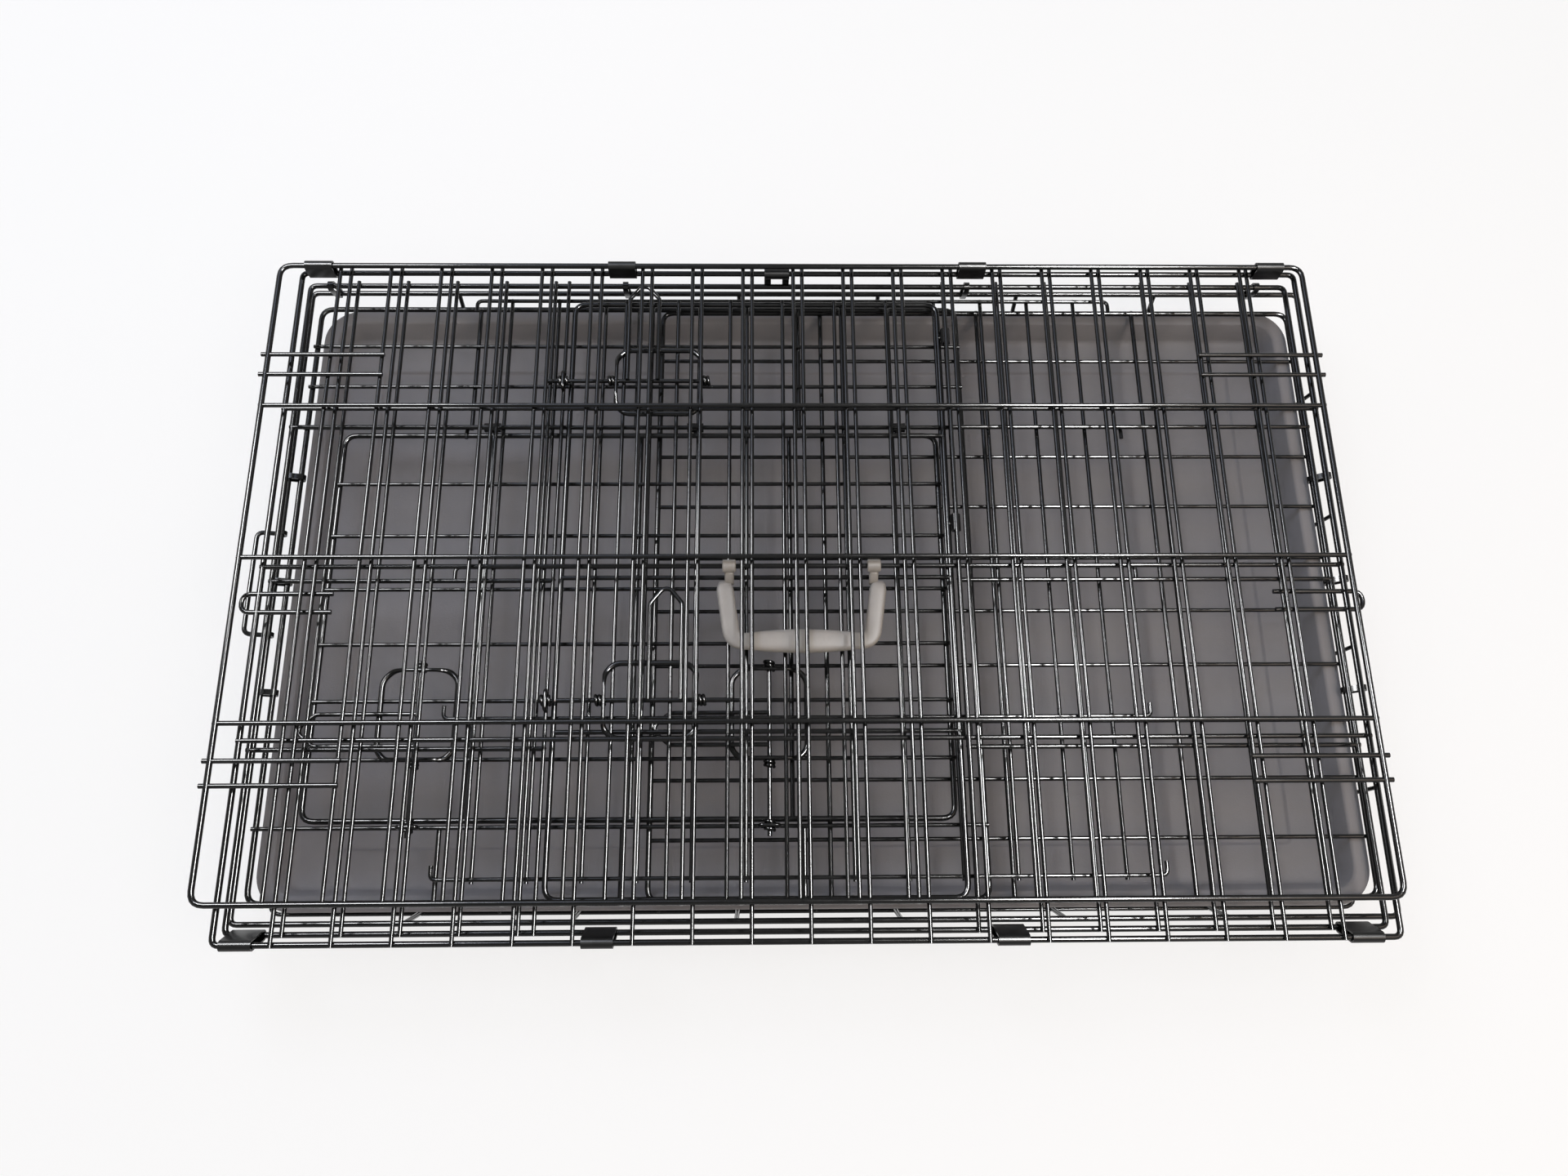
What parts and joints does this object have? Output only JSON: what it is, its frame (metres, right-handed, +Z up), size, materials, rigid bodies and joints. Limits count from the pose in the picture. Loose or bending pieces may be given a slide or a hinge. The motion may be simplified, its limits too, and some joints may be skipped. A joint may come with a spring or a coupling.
{
  "type": "wire dog crate",
  "caption": "Folding wire dog crate, folded flat into a pack of barred panels over a moulded floor tray, with sliding door bolts and a carry handle.",
  "frame": {"origin": "on the floor, under the middle of the folded crate's box", "axes": "+X along the crate's length, towards the rear end; +Y towards the side the door panel is hinged on; +Z up"},
  "size_m": [0.7854, 0.4928, 0.0892],
  "materials": {
    "wire": "black coating baked on steel wire, semi-gloss",
    "latch_wire": "black coating on thin steel wire, semi-gloss",
    "sheet": "black coating on rolled steel sheet, semi-gloss",
    "tray": "moulded charcoal plastic with a fine grain",
    "handle": "moulded light grey plastic"
  },
  "bodies": {
    "base": {"base_basket": "wire", "front_end_panel": "wire", "front_door": "wire", "front_bracket_lower": "latch_wire", "front_bracket_upper": "latch_wire", "rear_end_panel": "wire", "divider_panel": "wire", "front_strikes": "latch_wire", "door_side_links": "wire", "front_links": "wire", "rear_links": "wire"},
    "tray": {"floor_tray": "tray"},
    "door_side": {"door_side_panel": "wire", "side_door": "wire", "side_bracket_lower": "latch_wire", "side_bracket_upper": "latch_wire", "side_strikes": "latch_wire", "top_sleeves": "sheet"},
    "roof": {"top_panel": "wire", "carry_handle": "handle", "plain_side_sleeves": "sheet"},
    "plain_side": {"plain_side_panel": "wire"},
    "clip": {"closing_clip": "sheet"},
    "stop": {"pan_stop": "wire"},
    "front_bolt_low": {"front_bolt_lower": "latch_wire"},
    "front_bolt_high": {"front_bolt_upper": "latch_wire"},
    "side_bolt_low": {"side_bolt_lower": "latch_wire"},
    "side_bolt_high": {"side_bolt_upper": "latch_wire"}
  },
  "joints": [
    {"name": "tray_slide", "type": "slide", "parent": "base", "child": "tray", "axis": [-1, 0, 0], "range_m": [0, 0.5]},
    {"name": "door_side_fold", "type": "hinge", "parent": "base", "child": "door_side", "pos_m": [-0.00503, 0.23856, 0.0586], "axis": [-1, 0, 0], "range_deg": [0, 90]},
    {"name": "roof_fold", "type": "hinge", "parent": "door_side", "child": "roof", "pos_m": [-0.00503, -0.24252, 0.0758], "axis": [1, 0, 0], "range_deg": [0, 270]},
    {"name": "plain_side_fold", "type": "hinge", "parent": "roof", "child": "plain_side", "pos_m": [-0.00503, 0.23856, 0.0856], "axis": [-1, 0, 0], "range_deg": [0, 90]},
    {"name": "clip_swing", "type": "hinge", "parent": "roof", "child": "clip", "pos_m": [-0.00503, 0.23856, 0.0758], "axis": [1, 0, 0], "range_deg": [0, 100]},
    {"name": "pan_stop_swing", "type": "hinge", "parent": "base", "child": "stop", "pos_m": [-0.37503, 0.00731, 0.042], "axis": [0, 1, 0], "range_deg": [-110, 0]},
    {"name": "front_bolt_lower_slide", "type": "slide", "parent": "base", "child": "front_bolt_low", "axis": [0, 1, 0], "range_m": [0, 0.0275]},
    {"name": "front_bolt_upper_slide", "type": "slide", "parent": "base", "child": "front_bolt_high", "axis": [0, 1, 0], "range_m": [0, 0.0275]},
    {"name": "side_bolt_lower_slide", "type": "slide", "parent": "door_side", "child": "side_bolt_low", "axis": [1, 0, 0], "range_m": [-0.026, 0]},
    {"name": "side_bolt_upper_slide", "type": "slide", "parent": "door_side", "child": "side_bolt_high", "axis": [1, 0, 0], "range_m": [0, 0.0285]}
  ]
}
